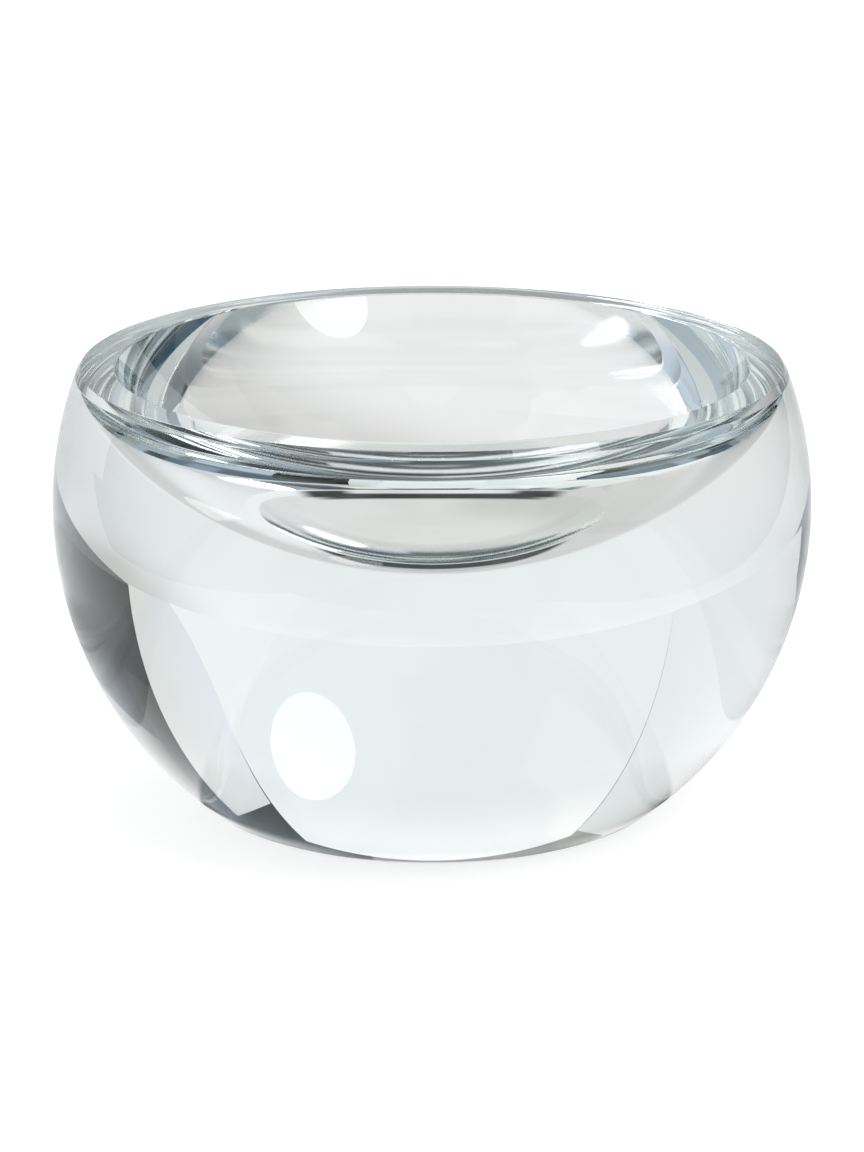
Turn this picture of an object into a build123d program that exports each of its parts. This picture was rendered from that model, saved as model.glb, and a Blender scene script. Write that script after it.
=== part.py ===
from build123d import *
import math
import os

# Floating candle bowl of solid clear crystal, one piece of glass.
# The outside is a ball, cut flat above for the rim and below for the foot.
# A shallow round hollow for water and candle is ground into the top.
# The origin is the centre of the foot, on the table, with +Z up.

# Driving dimensions in millimetres
ball_diameter = 150.0
rim_above_belly = 28.5
foot_below_belly = 60.2
mouth_diameter = 124.9
hollow_depth = 36.7
rim_bevel_width = 1.0
rim_bevel_height = 1.5
foot_bevel_height = 1.2
mouth_arris = 0.3

# Heights of the cut planes above the table
ball_radius = ball_diameter / 2
belly_height = foot_below_belly
rim_height = foot_below_belly + rim_above_belly


def ball_radius_at(height):
    """Radius of the ball's outline at a height above the table."""
    return math.sqrt(ball_radius**2 - (height - belly_height) ** 2)


# Edges where the ball meets the rim's bevel and the foot's bevel
rim_bevel_foot = rim_height - rim_bevel_height
rim_edge_radius = ball_radius_at(rim_bevel_foot)
rim_land_radius = rim_edge_radius - rim_bevel_width
foot_edge_radius = ball_radius_at(foot_bevel_height)
foot_land_radius = ball_radius_at(0) - foot_bevel_height

# The hollow is a cap of a ball whose centre stands above the rim.
# Its wall stops at the arris, the fine bevel that takes the edge off the mouth.
mouth_radius = mouth_diameter / 2
wall_top_radius = mouth_radius - mouth_arris
wall_top_height = rim_height - mouth_arris
wall_rise = hollow_depth - mouth_arris
hollow_radius = (wall_top_radius**2 + wall_rise**2) / (2 * wall_rise)
hollow_floor = rim_height - hollow_depth
hollow_centre = hollow_floor + hollow_radius
half_angle = math.acos(1 - wall_rise / hollow_radius) / 2
wall_middle_radius = hollow_radius * math.sin(half_angle)
wall_middle_height = hollow_centre - hollow_radius * math.cos(half_angle)


with BuildPart() as crystal_bowl:
    # Cut ball: foot, bevel, round side, rim bevel and flat rim
    with BuildSketch(Plane.XZ):
        with BuildLine():
            foot = Line((0, 0), (foot_land_radius, 0))
            foot_bevel = Line(foot @ 1, (foot_edge_radius, foot_bevel_height))
            side = ThreePointArc(
                foot_bevel @ 1,
                (ball_radius, belly_height),
                (rim_edge_radius, rim_bevel_foot),
            )
            rim_bevel = Line(side @ 1, (rim_land_radius, rim_height))
            rim = Line(rim_bevel @ 1, (0, rim_height))
            Line(rim @ 1, foot @ 0)
        make_face()
    revolve(axis=Axis.Z)

    # Hollow: the cap and the arris are ground out of the rim
    with BuildSketch(Plane.XZ):
        with BuildLine():
            wall = ThreePointArc(
                (0, hollow_floor),
                (wall_middle_radius, wall_middle_height),
                (wall_top_radius, wall_top_height),
            )
            arris = Line(wall @ 1, (mouth_radius, rim_height))
            mouth = Line(arris @ 1, (0, rim_height))
            Line(mouth @ 1, wall @ 0)
        make_face()
    revolve(axis=Axis.Z, mode=Mode.SUBTRACT)

crystal_bowl.part.label = "crystal_bowl"

os.makedirs("parts", exist_ok=True)
export_step(crystal_bowl.part, "parts/crystal_bowl.step")

print("height", round(rim_height, 2), "foot across", round(2 * ball_radius_at(0), 2))
print("hollow radius", round(hollow_radius, 2), "glass under hollow", round(hollow_floor, 2))
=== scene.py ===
import math

import bmesh
import bpy
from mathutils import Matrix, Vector


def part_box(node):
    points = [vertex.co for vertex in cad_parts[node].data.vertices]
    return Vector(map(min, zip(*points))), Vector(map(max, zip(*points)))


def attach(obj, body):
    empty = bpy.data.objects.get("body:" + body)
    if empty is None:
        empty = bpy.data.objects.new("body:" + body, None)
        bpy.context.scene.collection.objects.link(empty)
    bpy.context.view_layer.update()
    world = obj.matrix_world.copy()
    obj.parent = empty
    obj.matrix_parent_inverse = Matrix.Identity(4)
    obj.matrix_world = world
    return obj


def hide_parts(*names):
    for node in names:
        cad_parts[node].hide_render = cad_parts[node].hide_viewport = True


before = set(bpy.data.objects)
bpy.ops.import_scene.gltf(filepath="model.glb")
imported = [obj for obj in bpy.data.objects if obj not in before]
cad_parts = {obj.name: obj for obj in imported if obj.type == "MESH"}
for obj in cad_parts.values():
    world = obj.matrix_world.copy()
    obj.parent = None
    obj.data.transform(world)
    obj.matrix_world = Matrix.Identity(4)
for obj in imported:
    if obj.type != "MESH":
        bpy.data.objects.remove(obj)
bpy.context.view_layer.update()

# Crystal bowl: one solid piece of clear crystal glass, the only piece of the object.
# It was cast as a blank, cut to a ball with a flat rim and foot, and a round hollow was ground
# into the top. All of it is polished, and the sharp edges are taken off with narrow bevels.
mm = 0.001
bowl_low, bowl_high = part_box("crystal_bowl")
ball_radius = (bowl_high.x - bowl_low.x) / 2
rim_height = bowl_high.z
belly_height = 60.2 * mm
mouth_radius = 62.45 * mm
hollow_depth = 36.7 * mm
rim_bevel_width = 1.0 * mm
rim_bevel_height = 1.5 * mm
foot_bevel = 1.2 * mm
mouth_arris = 0.3 * mm
edge_softness = 0.07 * mm
edge_segments = 3
crease_angle = math.radians(12)
side_rings = 48
hollow_rings = 44
even_spacing = 0.15
turn_steps = 768
weld_gap = 0.001 * mm


def ball_radius_at(height):
    """Radius of the ball's outline at a height above the table."""
    return math.sqrt(ball_radius**2 - (height - belly_height) ** 2)


def line_to(mesh, start, radius, height):
    """Draws a straight piece of the profile from the vertex start, and returns its end."""
    end = bmesh.ops.extrude_vert_indiv(mesh, verts=[start])["verts"][0]
    end.co = (radius, 0, height)
    return end


def arc_to(mesh, start, centre_height, radius, height, rings):
    """Draws an arc of the profile round a centre on the axis, and returns its end.

    Rings are closer together near the arc's ends, where the glass shows every change of slope.
    """
    centre = Vector((0, 0, centre_height))
    goal = Vector((radius, 0, height)) - centre
    arm = start.co - centre
    first = math.atan2(arm.z, arm.x)
    sweep = math.atan2(goal.z, goal.x) - first
    for step in range(1, rings + 1):
        even = step / rings
        crowded = (1 - math.cos(math.pi * even)) / 2
        angle = first + sweep * (even_spacing * even + (1 - even_spacing) * crowded)
        ring_radius = arm.length * math.cos(angle)
        ring_height = centre_height + arm.length * math.sin(angle)
        start = line_to(mesh, start, ring_radius, ring_height)
    return start


def finished_piece(mesh, name):
    """Makes an object of a bmesh, with smooth shading, and frees the bmesh."""
    data = bpy.data.meshes.new(name)
    mesh.to_mesh(data)
    mesh.free()
    data.shade_smooth()
    piece = bpy.data.objects.new(name, data)
    bpy.context.scene.collection.objects.link(piece)
    return piece


wall_top_radius = mouth_radius - mouth_arris
wall_top_height = rim_height - mouth_arris
wall_rise = hollow_depth - mouth_arris
hollow_radius = (wall_top_radius**2 + wall_rise**2) / (2 * wall_rise)
hollow_floor = rim_height - hollow_depth
hollow_centre = hollow_floor + hollow_radius
rim_edge_height = rim_height - rim_bevel_height
rim_edge_radius = ball_radius_at(rim_edge_height)

glass = bmesh.new()
foot_middle = glass.verts.new((0, 0, 0))
sole_edge = line_to(glass, foot_middle, ball_radius_at(0) - foot_bevel, 0)
foot_edge = line_to(glass, sole_edge, ball_radius_at(foot_bevel), foot_bevel)
side_top = arc_to(glass, foot_edge, belly_height, rim_edge_radius, rim_edge_height, side_rings)
rim_outside = line_to(glass, side_top, rim_edge_radius - rim_bevel_width, rim_height)
rim_inside = line_to(glass, rim_outside, mouth_radius, rim_height)
wall_top = line_to(glass, rim_inside, wall_top_radius, wall_top_height)
arc_to(glass, wall_top, hollow_centre, 0, hollow_floor, hollow_rings)
bmesh.ops.spin(
    glass,
    geom=glass.verts[:] + glass.edges[:],
    cent=(0, 0, 0),
    axis=(0, 0, 1),
    angle=2 * math.pi,
    steps=turn_steps,
    use_merge=True,
)
bmesh.ops.remove_doubles(glass, verts=glass.verts[:], dist=weld_gap)
bmesh.ops.recalc_face_normals(glass, faces=glass.faces[:])
creases = [e for e in glass.edges if e.calc_face_angle(0) > crease_angle]
rounded = bmesh.ops.bevel(
    glass,
    geom=creases,
    affect="EDGES",
    offset=edge_softness,
    offset_type="OFFSET",
    segments=edge_segments,
    profile=0.5,
    material=-1,
)

# Each rounded edge keeps a crisp line on both sides, so the faces beside it stay true.
soft_faces = set(rounded["faces"])
for face in soft_faces:
    for edge in face.edges:
        if any(other not in soft_faces for other in edge.link_faces):
            edge.smooth = False
crystal_bowl = finished_piece(glass, "polished_crystal_bowl")


def linear(colour):
    """An sRGB hex colour as linear red, green, blue and alpha."""
    parts = [int(colour[i : i + 2], 16) / 255 for i in (1, 3, 5)]
    return [c / 12.92 if c <= 0.04045 else ((c + 0.055) / 1.055) ** 2.4 for c in parts] + [1]


def new_material(name):
    """An empty node material and its tree."""
    material = bpy.data.materials.new(name)
    material.use_nodes = True
    material.node_tree.nodes.clear()
    return material, material.node_tree


def add_node(tree, kind, inputs=None, **settings):
    """Adds a node with its settings, and sets each input to a value or links it to a socket."""
    node = tree.nodes.new(kind)
    for name, value in settings.items():
        setattr(node, name, value)
    for name, value in (inputs or {}).items():
        if isinstance(value, bpy.types.NodeSocket):
            tree.links.new(value, node.inputs[name])
        else:
            node.inputs[name].default_value = value
    return node


def eased(tree, value, start, full, most=1.0):
    """A share that is 0 at the value start and the most at full, with a smooth way between."""
    span = {"Value": value, "From Min": start, "From Max": full, "To Max": most}
    return add_node(tree, "ShaderNodeMapRange", span, interpolation_type="SMOOTHSTEP").outputs[0]


def distance_from(tree, place, middle=(0, 0, 0)):
    """Level distance of a place from a middle, or else from the bowl's axis."""
    level = {0: place, 1: (1, 1, 0)}
    flat = add_node(tree, "ShaderNodeVectorMath", level, operation="MULTIPLY").outputs[0]
    between = add_node(tree, "ShaderNodeVectorMath", {0: flat, 1: middle}, operation="DISTANCE")
    return between.outputs["Value"]


# Polished crystal: colourless glass with a trace of green and blue in thick parts. Polishing
# lines run round the rim and its bevels, where a little dust lies too. The foot is worn a little
# satin, and the side has the faint marks of hands, so no light on the glass is quite even. The
# levels of a pattern are where it begins to show and where it is full.
crystal_ior = 1.51
tint_density = 0.6
polish_line = 0.15 * mm
polish_roughness = 0.09
polish_levels = (0.5, 0.7)
hand_mark = 25 * mm
hand_roughness = 0.02
hand_levels = (0.45, 0.7)
foot_roughness = 0.11
dust_gap = 1.1 * mm
dust_cover = 0.5
speck_levels = (0.12, 0.06)
rim_zone_depth = 1.6 * mm
rim_zone_inside = 0.4 * mm
zone_edge = 0.4 * mm
crystal, tree = new_material("polished_crystal_glass")
place = add_node(tree, "ShaderNodeTexCoord").outputs["Object"]
axes = add_node(tree, "ShaderNodeSeparateXYZ", {0: place}).outputs
from_axis = distance_from(tree, place)
profile = add_node(tree, "ShaderNodeCombineXYZ", {0: from_axis, 2: axes["Z"]}).outputs[0]
grain = add_node(tree, "ShaderNodeTexNoise", {"Vector": profile, "Scale": 1 / polish_line})
marks = add_node(tree, "ShaderNodeTexNoise", {"Vector": place, "Scale": 1 / hand_mark})
dust = add_node(tree, "ShaderNodeTexVoronoi", {"Vector": place, "Scale": 1 / dust_gap})


def on_rim(most):
    """The most on the rim and its bevels, and 0 on the rest of the bowl."""
    zone_foot = rim_height - rim_zone_depth
    zone_inside = mouth_radius - rim_zone_inside
    high = eased(tree, axes["Z"], zone_foot - zone_edge, zone_foot, most)
    return eased(tree, from_axis, zone_inside - zone_edge, zone_inside, high)


rim_lines = eased(tree, grain.outputs[0], *polish_levels, on_rim(polish_roughness))
hand_marks = eased(tree, marks.outputs[0], *hand_levels, hand_roughness)
foot_wear = eased(tree, axes["Z"], foot_bevel + zone_edge, foot_bevel, foot_roughness)
wear = add_node(tree, "ShaderNodeMath", {0: rim_lines, 1: hand_marks}, operation="MAXIMUM")
wear = add_node(tree, "ShaderNodeMath", {0: wear.outputs[0], 1: foot_wear}, operation="MAXIMUM")
surface = add_node(
    tree,
    "ShaderNodeBsdfPrincipled",
    {
        "Base Color": linear("#FFFFFF"),
        "Roughness": wear.outputs[0],
        "IOR": crystal_ior,
        "Transmission Weight": 1.0,
    },
)
speck = add_node(tree, "ShaderNodeBsdfDiffuse", {"Color": linear("#F4F2EE")})
speck_share = eased(tree, dust.outputs["Distance"], *speck_levels, on_rim(dust_cover))
glass_and_dust = {0: speck_share, 1: surface.outputs[0], 2: speck.outputs[0]}
dusted = add_node(tree, "ShaderNodeMixShader", glass_and_dust)
tint = add_node(
    tree, "ShaderNodeVolumeAbsorption", {"Color": linear("#7FC8C0"), "Density": tint_density}
)
shown = {"Surface": dusted.outputs[0], "Volume": tint.outputs["Volume"]}
add_node(tree, "ShaderNodeOutputMaterial", shown)
crystal_bowl.data.materials.append(crystal)
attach(crystal_bowl, "root")
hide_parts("crystal_bowl")

# Table: a white matt top with no shine, which the camera and the light see, and which keeps the
# bowl's soft shadow. In its place the glass sees what lies beyond the paper sheet: the dimmer
# floor of the studio, in strips that run outwards from the bowl.
air_gap = 0.1 * mm
table_size = 6.0
table_glow = 0.72


def is_glass_ray(tree):
    """1 for a ray that a mirror or the glass has turned, and 0 for all others."""
    path = add_node(tree, "ShaderNodeLightPath")
    both = {0: path.outputs["Is Glossy Ray"], 1: path.outputs["Is Transmission Ray"]}
    return add_node(tree, "ShaderNodeMath", both, operation="MAXIMUM").outputs[0]


def painted(tree, base, layers):
    """A base colour with layers over it, each a name, the share that it covers and its colour."""
    tone = linear(base)
    for name, share, colour in layers:
        inputs = {0: share, 6: tone, 7: linear(colour)}
        tone = add_node(tree, "ShaderNodeMix", inputs, data_type="RGBA", label=name).outputs[2]
    return tone


def strip(tree, value, ends, soft, most=1.0):
    """The most between two ends, with soft sides, and 0 outside."""
    low, high = ends
    above = eased(tree, value, low - soft, low + soft, most)
    return eased(tree, value, high + soft, high - soft, above)


def turn_from_back(tree, place):
    """Degrees round from straight behind the camera, and more on the left of the picture."""
    back = add_node(tree, "ShaderNodeVectorMath", {0: place, 1: (-1, -1, 1)}, operation="MULTIPLY")
    parts = add_node(tree, "ShaderNodeSeparateXYZ", {0: back.outputs[0]}).outputs
    angle = add_node(tree, "ShaderNodeMath", {0: parts["X"], 1: parts["Y"]}, operation="ARCTAN2")
    return add_node(tree, "ShaderNodeMath", {0: angle.outputs[0]}, operation="DEGREES").outputs[0]


table_mesh = bmesh.new()
bmesh.ops.create_grid(table_mesh, x_segments=1, y_segments=1, size=table_size / 2)
bmesh.ops.translate(table_mesh, vec=(0, 0, -2 * air_gap), verts=table_mesh.verts[:])
table = finished_piece(table_mesh, "white_table")
paint, tree = new_material("white_matt_table")
matt = add_node(tree, "ShaderNodeBsdfDiffuse", {"Color": linear("#A8A8A8")})
glow = add_node(tree, "ShaderNodeEmission", {"Color": linear("#FFFFFF"), "Strength": table_glow})
white = add_node(tree, "ShaderNodeAddShader", {0: matt.outputs[0], 1: glow.outputs[0]})
place = add_node(tree, "ShaderNodeTexCoord").outputs["Object"]
turn = turn_from_back(tree, place)


def floor_strip(name, turns, colour, soft):
    """A strip of the studio's floor between two turns, as a layer of paint."""
    return name, strip(tree, turn, turns, soft), colour


studio_floor = painted(
    tree,
    "#60605E",
    (
        floor_strip("floor_behind_camera", (-26, 4), "#A4B0BA", soft=3),
        floor_strip("dark_floor_behind_right", (-44, -29), "#30414B", soft=3),
        floor_strip("blue_floor_right", (-60, -45), "#587080", soft=4),
        floor_strip("pale_floor_right", (-80, -60), "#8B99B1", soft=4),
        floor_strip("grey_floor_far_right", (-120, -80), "#576773", soft=4),
        floor_strip("floor_behind_left", (4, 13), "#788894", soft=2),
        floor_strip("navy_floor_behind_left", (13, 24), "#1F4458", soft=2),
        floor_strip("dark_floor_left", (24, 43), "#485458", soft=2),
        floor_strip("pale_floor_left", (46, 60), "#A6B0BC", soft=4),
        floor_strip("grey_floor_far_left", (62, 120), "#7A868F", soft=4),
    ),
)
beyond = add_node(tree, "ShaderNodeEmission", {"Color": studio_floor})
sides = {0: is_glass_ray(tree), 1: white.outputs[0], 2: beyond.outputs[0]}
seen = add_node(tree, "ShaderNodeMixShader", sides)
add_node(tree, "ShaderNodeOutputMaterial", {"Surface": seen.outputs[0]})
table.data.materials.append(paint)

# Sheet: the white paper that the glass shows through its foot. It ends in front and at both
# sides. Its light and shade are painted into its glowing colour: it is painted darkest in a ring
# of shade before the foot and in the bowl's own shade behind it.
# Its left and right edges are given at its front edge, its middle and its back edge, in metres.
sheet_rows = (-0.265, 0.05, 1.15)
sheet_left = (-0.20, -0.31, -1.75)
sheet_right = (0.15, 0.29, 0.80)
shadow_middle = (-0.046, 0.039, 0)
glow_middle = (-0.058, 0.022, 0)
shade_point_aside = 0.0015
shade_point_slope = 2.08


def seen_by_glass_alone(piece):
    """Hides a piece of the studio from the camera and from the light on the table."""
    piece.visible_camera = False
    piece.visible_diffuse = False
    piece.visible_shadow = False


sheet_mesh = bmesh.new()
bmesh.ops.create_grid(sheet_mesh, x_segments=1, y_segments=2, size=1)
for vert in sheet_mesh.verts:
    row = round(vert.co.y + 1)
    side = sheet_right if vert.co.x > 0 else sheet_left
    vert.co = (side[row], sheet_rows[row], -air_gap)
sheet = finished_piece(sheet_mesh, "paper_sheet")
paper, tree = new_material("white_paper_with_painted_light")
place = add_node(tree, "ShaderNodeTexCoord").outputs["Object"]
axes = add_node(tree, "ShaderNodeSeparateXYZ", {0: place}).outputs
out = distance_from(tree, place)
behind = add_node(tree, "ShaderNodeMath", {0: axes["Y"], 1: out}, operation="DIVIDE").outputs[0]
aside = add_node(tree, "ShaderNodeMath", {0: axes["X"], 1: out}, operation="DIVIDE").outputs[0]


def ring(inner_start, inner_full, outer_full, outer_end):
    """1 between two radii round the bowl's axis, with soft edges."""
    inside = eased(tree, out, inner_start, inner_full)
    return eased(tree, out, outer_end, outer_full, inside)


# Each share of the sheet starts at the first number and is full at the second. Out is a distance
# from the axis in metres. Behind and aside are 1 straight behind the axis and straight to its
# right, 0 at a right angle to that, and -1 opposite.
# The paper turns a little warmer away from the bowl, and is painted lighter towards the back.
away_from_bowl = eased(tree, out, 0.05, 0.16)
past_bowl = eased(tree, axes["Y"], 0.1, 0.5)
at_back = eased(tree, axes["Y"], 0.5, 1.1)
# Painted shade dims the back right corner and the right side; painted light brightens the left side
# before the bowl and a patch straight behind it.
back_right = eased(tree, aside, 0.3, 0.65, past_bowl)
in_front = eased(tree, axes["Y"], 0.4, 0.1)
to_right = eased(tree, aside, 0.1, 0.8, eased(tree, out, 0.06, 0.2, in_front))
to_left = eased(tree, aside, -0.1, -0.8, eased(tree, out, 0.06, 0.25, in_front))
straight_behind = eased(tree, behind, 0.96, 0.995, ring(0.095, 0.10, 0.12, 0.15))
# The bowl's shadow is painted in, with a pool of light that the glass gathers painted inside it, and
# painted shade right of the foot with painted light left of it.
in_shadow = eased(tree, distance_from(tree, place, shadow_middle), 0.112, 0.078)
in_glow = eased(tree, distance_from(tree, place, glow_middle), 0.062, 0.035)
round_foot = eased(tree, out, 0.070, 0.060)
foot_right = eased(tree, aside, 0.2, 0.8, round_foot)
foot_left = eased(tree, aside, -0.2, -0.8, round_foot)
# Painted shade under the foot: darker on its right and at its back, a little less on its left.
shade_under_foot = eased(tree, out, 0.0435, 0.0425)
under_side = ring(0.018, 0.035, 0.0425, 0.0435)
under_right = eased(tree, aside, 0.0, 0.6, under_side)
under_left = eased(tree, aside, 0.0, -0.8, under_side)
under_back = eased(tree, behind, 0.6, 0.8, ring(0.033, 0.037, 0.0425, 0.0442))
under_back = eased(tree, aside, -0.2, 0.1, under_back)
# Rings of painted shade lie before the foot and beside its front.
before_foot = eased(tree, behind, -0.50, -0.72, ring(0.0385, 0.0402, 0.0428, 0.0440))
beside_front = eased(tree, behind, -0.42, -0.6, ring(0.0405, 0.0418, 0.0448, 0.0458))
beside_front = eased(tree, behind, -0.86, -0.76, beside_front)

# The bowl's own painted shade behind it narrows to a point, so its edge slants in from both sides.
shift = {0: axes["X"], 1: shade_point_aside}
off_point = add_node(tree, "ShaderNodeMath", shift, operation="SUBTRACT").outputs[0]
off_point = add_node(tree, "ShaderNodeMath", {0: off_point}, operation="ABSOLUTE").outputs[0]
slant = {0: off_point, 1: shade_point_slope, 2: axes["Y"]}
to_point = add_node(tree, "ShaderNodeMath", slant, operation="MULTIPLY_ADD").outputs[0]
back_shade = eased(tree, to_point, 0.0925, 0.086)
near_shade = eased(tree, out, 0.0460, 0.0485, back_shade)
far_shade = eased(tree, out, 0.064, 0.074, back_shade)

# The paper's tone, with the painted light and shade laid over it one layer at a time.
paper_tone_and_painted_light = painted(
    tree,
    "#F6F8FA",
    (
        ("paper_away_from_bowl", away_from_bowl, "#F3F4F3"),
        ("paper_past_bowl", past_bowl, "#F5F7F9"),
        ("paper_at_back", at_back, "#F8FCFC"),
        ("dim_back_right_corner", back_right, "#C4C2BE"),
        ("dim_right_side", to_right, "#DCDCE0"),
        ("bright_left_side", to_left, "#FFFFFF"),
        ("light_straight_behind", straight_behind, "#F8F8F7"),
        ("soft_shadow", in_shadow, "#D8D8D6"),
        ("glow_in_shadow", in_glow, "#F1F4F4"),
        ("shade_right_of_foot", foot_right, "#D5D4D2"),
        ("light_left_of_foot", foot_left, "#FBFBFB"),
        ("shade_under_foot", shade_under_foot, "#E3E4E1"),
        ("shade_under_foot_right", under_right, "#CFD1CD"),
        ("lighter_shade_under_foot_left", under_left, "#E5E5E4"),
        ("shade_under_foot_back", under_back, "#A0A8A8"),
        ("shade_ring_before_foot", before_foot, "#404646"),
        ("shade_ring_beside_front", beside_front, "#3A3C38"),
        ("near_shade_behind", near_shade, "#444945"),
        ("far_shade_behind", far_shade, "#CBCFCF"),
    ),
)
lit_paper = add_node(tree, "ShaderNodeEmission", {"Color": paper_tone_and_painted_light})
add_node(tree, "ShaderNodeOutputMaterial", {"Surface": lit_paper.outputs[0]})
sheet.data.materials.append(paper)
seen_by_glass_alone(sheet)

# Boards: white boards and black flags of stretched cloth stand round the back of the table, as
# the glass shows them. Only the glass sees them, and the camera sees plain white.
board_distance = 1.15
board_steps = 40


def board(name, corners, colours, distance=board_distance, bow=1, arch=0, strength=1, fade_from=None):
    """A curved board with four corners, each a bearing in degrees and a height in metres.

    Bearings are counted to the right of straight behind the bowl. Corners and their colours go
    from the low left one to the right and round. A bow curves the sides, and an arch lifts the
    top. The high colours begin to show at the height fade_from, or else at the board's foot.
    """
    low_left, low_right, high_right, high_left = corners
    mesh = bmesh.new()
    bmesh.ops.create_grid(mesh, x_segments=board_steps, y_segments=board_steps, size=1)
    for vert in mesh.verts:
        across = (vert.co.x + 1) / 2
        up = (vert.co.y + 1) / 2
        rest = (1 - up) ** bow
        left = high_left[0] + (low_left[0] - high_left[0]) * rest
        right = high_right[0] + (low_right[0] - high_right[0]) * rest
        bearing = math.radians(left + (right - left) * across)
        low = low_left[1] + (low_right[1] - low_left[1]) * across
        high = high_left[1] + (high_right[1] - high_left[1]) * across
        high = high + arch * (1 - vert.co.x**2)
        vert.co.x = distance * math.sin(bearing)
        vert.co.y = distance * math.cos(bearing)
        vert.co.z = low + (high - low) * up
    piece = finished_piece(mesh, name)
    cloth, tree = new_material(name)
    place = add_node(tree, "ShaderNodeTexCoord").outputs["Object"]
    axes = add_node(tree, "ShaderNodeSeparateXYZ", {0: place}).outputs
    level = {0: axes["X"], 1: axes["Y"]}
    bearing = add_node(tree, "ShaderNodeMath", level, operation="ARCTAN2").outputs[0]
    left_side = math.radians(min(low_left[0], high_left[0]))
    right_side = math.radians(max(low_right[0], high_right[0]))
    across = eased(tree, bearing, left_side, right_side)
    bottom = min(low_left[1], low_right[1]) if fade_from is None else fade_from
    top = max(high_left[1], high_right[1])
    up = eased(tree, axes["Z"], bottom, top)
    low_tone = painted(tree, colours[0], (("low_right", across, colours[1]),))
    high_tone = painted(tree, colours[3], (("high_right", across, colours[2]),))
    tones = {0: up, 6: low_tone, 7: high_tone}
    tone = add_node(tree, "ShaderNodeMix", tones, data_type="RGBA").outputs[2]
    lit_cloth = add_node(tree, "ShaderNodeEmission", {"Color": tone, "Strength": strength})
    add_node(tree, "ShaderNodeOutputMaterial", {"Surface": lit_cloth.outputs[0]})
    piece.data.materials.append(cloth)
    seen_by_glass_alone(piece)


board(
    "backdrop",
    ((-25.0, -0.06), (33, -0.06), (22.9, 1.02), (-25.0, 0.985)),
    ("#D3D7D7", "#D7DBDC", "#F8FAFB", "#FFFFFF"),
    bow=10.5,
    arch=0.0875,
    strength=1.33,
    fade_from=0.3,
)
board(
    "right_board",
    ((22.7, -0.06), (36.8, -0.06), (38.5, 1.02), (23.2, 0.65)),
    ("#DBDFE5", "#D3D3CF", "#F6F7F6", "#F0F2F2"),
    distance=1.16,
    strength=1.1,
)
board(
    "left_board",
    ((-66, -0.06), (-25.0, -0.06), (-25.2, 0.92), (-66, 2.0)),
    ("#F3F3F4", "#DFE4E5", "#FCFEFF", "#FFFFFF"),
    strength=1.12,
)
board(
    "left_window",
    ((-84, 0.62), (-60, 0.0), (-38, 2.9), (-84, 2.9)),
    ("#FFFFFF", "#F0F6F6", "#D8DEE0", "#FFFFFF"),
    distance=1.30,
)
board(
    "right_flag",
    ((30, -0.3), (74, -0.3), (74, 0.62), (30, 0.62)),
    ("#1A120D", "#606768", "#080808", "#080808"),
    distance=1.25,
)
board(
    "right_flag_top",
    ((37, 0.62), (72, 0.60), (74, 1.00), (37, 1.45)),
    ("#343420", "#F0F0F0", "#D0C4C0", "#A0A29C"),
    distance=1.25,
)
board(
    "black_corner",
    ((11, 0.3), (45, 0.3), (45, 1.5), (11, 1.42)),
    ("#505250", "#34342E", "#8A9098", "#202426"),
    distance=1.20,
)
board(
    "grey_corner",
    ((-40, 0.85), (11, 0.95), (11, 1.42), (-40, 1.42)),
    ("#BEBEB8", "#D8D0CC", "#606468", "#606468"),
    distance=1.20,
)

# Softbox: one oval lamp high on the right, on the camera's side, behind white cloth. It is the
# only lamp, and it shows as the white oval low in the glass.
softbox_bearing = math.radians(133)
softbox_height_angle = math.radians(44)
softbox_distance = 1.3
softbox_half_width = math.radians(11.6)
softbox_half_height = math.radians(14.3)
softbox_watts = 3.6
bowl_middle = Vector((0, 0, rim_height / 2))
away = Vector(
    (
        math.sin(softbox_bearing) * math.cos(softbox_height_angle),
        math.cos(softbox_bearing) * math.cos(softbox_height_angle),
        math.sin(softbox_height_angle),
    )
)
lamp = bpy.data.lights.new("softbox", "AREA")
lamp.shape = "ELLIPSE"
lamp.size = 2 * softbox_distance * math.tan(softbox_half_width)
lamp.size_y = 2 * softbox_distance * math.tan(softbox_half_height)
lamp.energy = softbox_watts
softbox = bpy.data.objects.new("softbox", lamp)
softbox.location = bowl_middle + away * softbox_distance
softbox.rotation_euler = away.to_track_quat("Z", "Y").to_euler()
softbox.visible_camera = False
bpy.context.scene.collection.objects.link(softbox)

# Room: plain white to the camera. To the glass it has grey walls, hung with white, grey and dark
# cloth, and a bare dark ceiling over them. A turn is counted from straight behind the camera to
# the left of the picture, and a height is counted up from level, both in degrees.
cloth_edge = 3
room = bpy.data.worlds.new("studio_room")
bpy.context.scene.world = room
room.use_nodes = True
tree = room.node_tree
tree.nodes.clear()
sight = add_node(tree, "ShaderNodeTexCoord").outputs["Generated"]
turn = turn_from_back(tree, sight)
upwards = add_node(tree, "ShaderNodeSeparateXYZ", {0: sight}).outputs["Z"]
rise = add_node(tree, "ShaderNodeMath", {0: upwards}, operation="ARCSINE").outputs[0]
rise = add_node(tree, "ShaderNodeMath", {0: rise}, operation="DEGREES").outputs[0]


def hung(name, turns, heights, colour):
    """A soft-edged part of the room between two turns and two heights, as a layer of paint."""
    across = strip(tree, turn, turns, cloth_edge)
    return name, strip(tree, rise, heights, cloth_edge, across), colour


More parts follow.
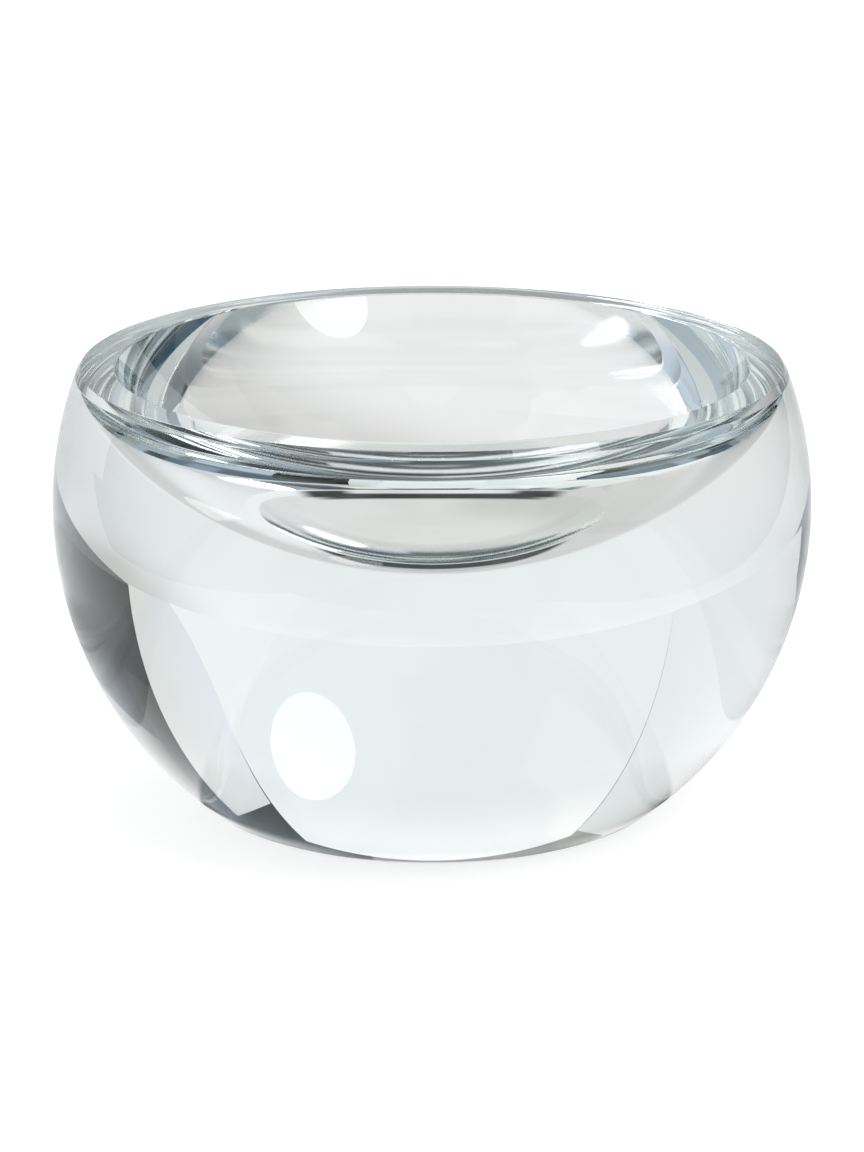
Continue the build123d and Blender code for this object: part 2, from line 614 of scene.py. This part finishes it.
room_tone = painted(
    tree,
    "#444B4D",
    (
        hung("grey_walls", (-106, 106), (-30, 64), "#808C8F"),
        hung("white_cloth_left", (38, 106), (30, 62), "#F3F1EC"),
        hung("pale_cloth_behind_right", (-62, -10), (26, 56), "#C4CCD8"),
        hung("grey_cloth_high_behind", (-10, 24), (46, 62), "#585A5C"),
        hung("low_wall_right", (-106, -58), (-30, 6), "#6B7982"),
        hung("pale_cloth_right", (-106, -58), (6, 40), "#C0CCDC"),
        hung("low_wall_behind_right", (-48, -14), (-30, 26), "#A6B2BA"),
        hung("low_wall_behind", (-14, 4), (-30, 18), "#A0A2A2"),
        hung("white_band_behind_right", (-48, -4), (20, 40), "#D0D6D8"),
        hung("dark_band_behind", (-12, 16), (32, 42), "#34383A"),
        hung("dark_teal_cloth_low", (12, 24), (-30, 8), "#102C34"),
        hung("navy_cloth_low", (24, 34), (-30, 8), "#101A34"),
        hung("black_cloth_behind_left", (4, 30), (12, 30), "#182024"),
        hung("low_wall_left", (62, 106), (-30, 6), "#8E9AA4"),
        hung("grey_cloth_left", (48, 88), (14, 30), "#747A7E"),
        hung("brown_cloth_far_left", (84, 112), (6, 22), "#555048"),
        hung("low_wall_behind_left", (30, 60), (-30, 12), "#9AA4AD"),
        hung("dark_cloth_high_right", (-112, -72), (42, 76), "#393F45"),
        hung("dark_ceiling_back_left", (120, 200), (67, 100), "#34393B"),
        hung("dark_ceiling_back_right", (-200, -120), (67, 100), "#34393B"),
        hung("pale_ceiling_middle", (-40, 40), (77, 86), "#C4C8C8"),
        hung("blue_ceiling_edge_right", (-72, -20), (56, 66), "#9CAABC"),
        hung("grey_ceiling_edge_left", (20, 60), (54, 66), "#79888D"),
        hung("white_cloth_back_left", (116, 150), (42, 67), "#F4F2EE"),
        hung("pale_cloth_back_right", (-172, -152), (48, 61), "#C4C8CC"),
        hung("white_cloth_back_right", (-150, -116), (50, 66), "#FAF4EC"),
    ),
)
white = add_node(tree, "ShaderNodeBackground", {"Color": linear("#FFFFFF")})
walls = add_node(tree, "ShaderNodeBackground", {"Color": room_tone})
sides = {0: is_glass_ray(tree), 1: white.outputs[0], 2: walls.outputs[0]}
seen = add_node(tree, "ShaderNodeMixShader", sides)
add_node(tree, "ShaderNodeOutputWorld", {"Surface": seen.outputs[0]})

# Camera: a long lens, at the photograph's viewing angle. It looks down a little and aims just
# above the middle of the bowl.
view_distance = 0.870
view_angle = math.radians(13.574)
lens_length = 138.2
aim_below_rim = 43.73 * mm
rim_middle = Vector((0, 0, rim_height))
camera_data = bpy.data.cameras.new("camera")
camera_data.lens = lens_length
camera = bpy.data.objects.new("camera", camera_data)
camera.location = rim_middle + view_distance * Vector((0, -math.cos(view_angle), math.sin(view_angle)))
aim = camera.location - (rim_middle - Vector((0, 0, aim_below_rim)))
camera.rotation_euler = aim.to_track_quat("Z", "Y").to_euler()
bpy.context.scene.collection.objects.link(camera)
bpy.context.scene.camera = camera
bpy.context.scene.view_settings.view_transform = "Standard"

# Light goes round inside the thick glass many times before it leaves, so it is followed further.
cycles = bpy.context.scene.cycles
cycles.max_bounces = 24
cycles.glossy_bounces = 20
cycles.transmission_bounces = 20
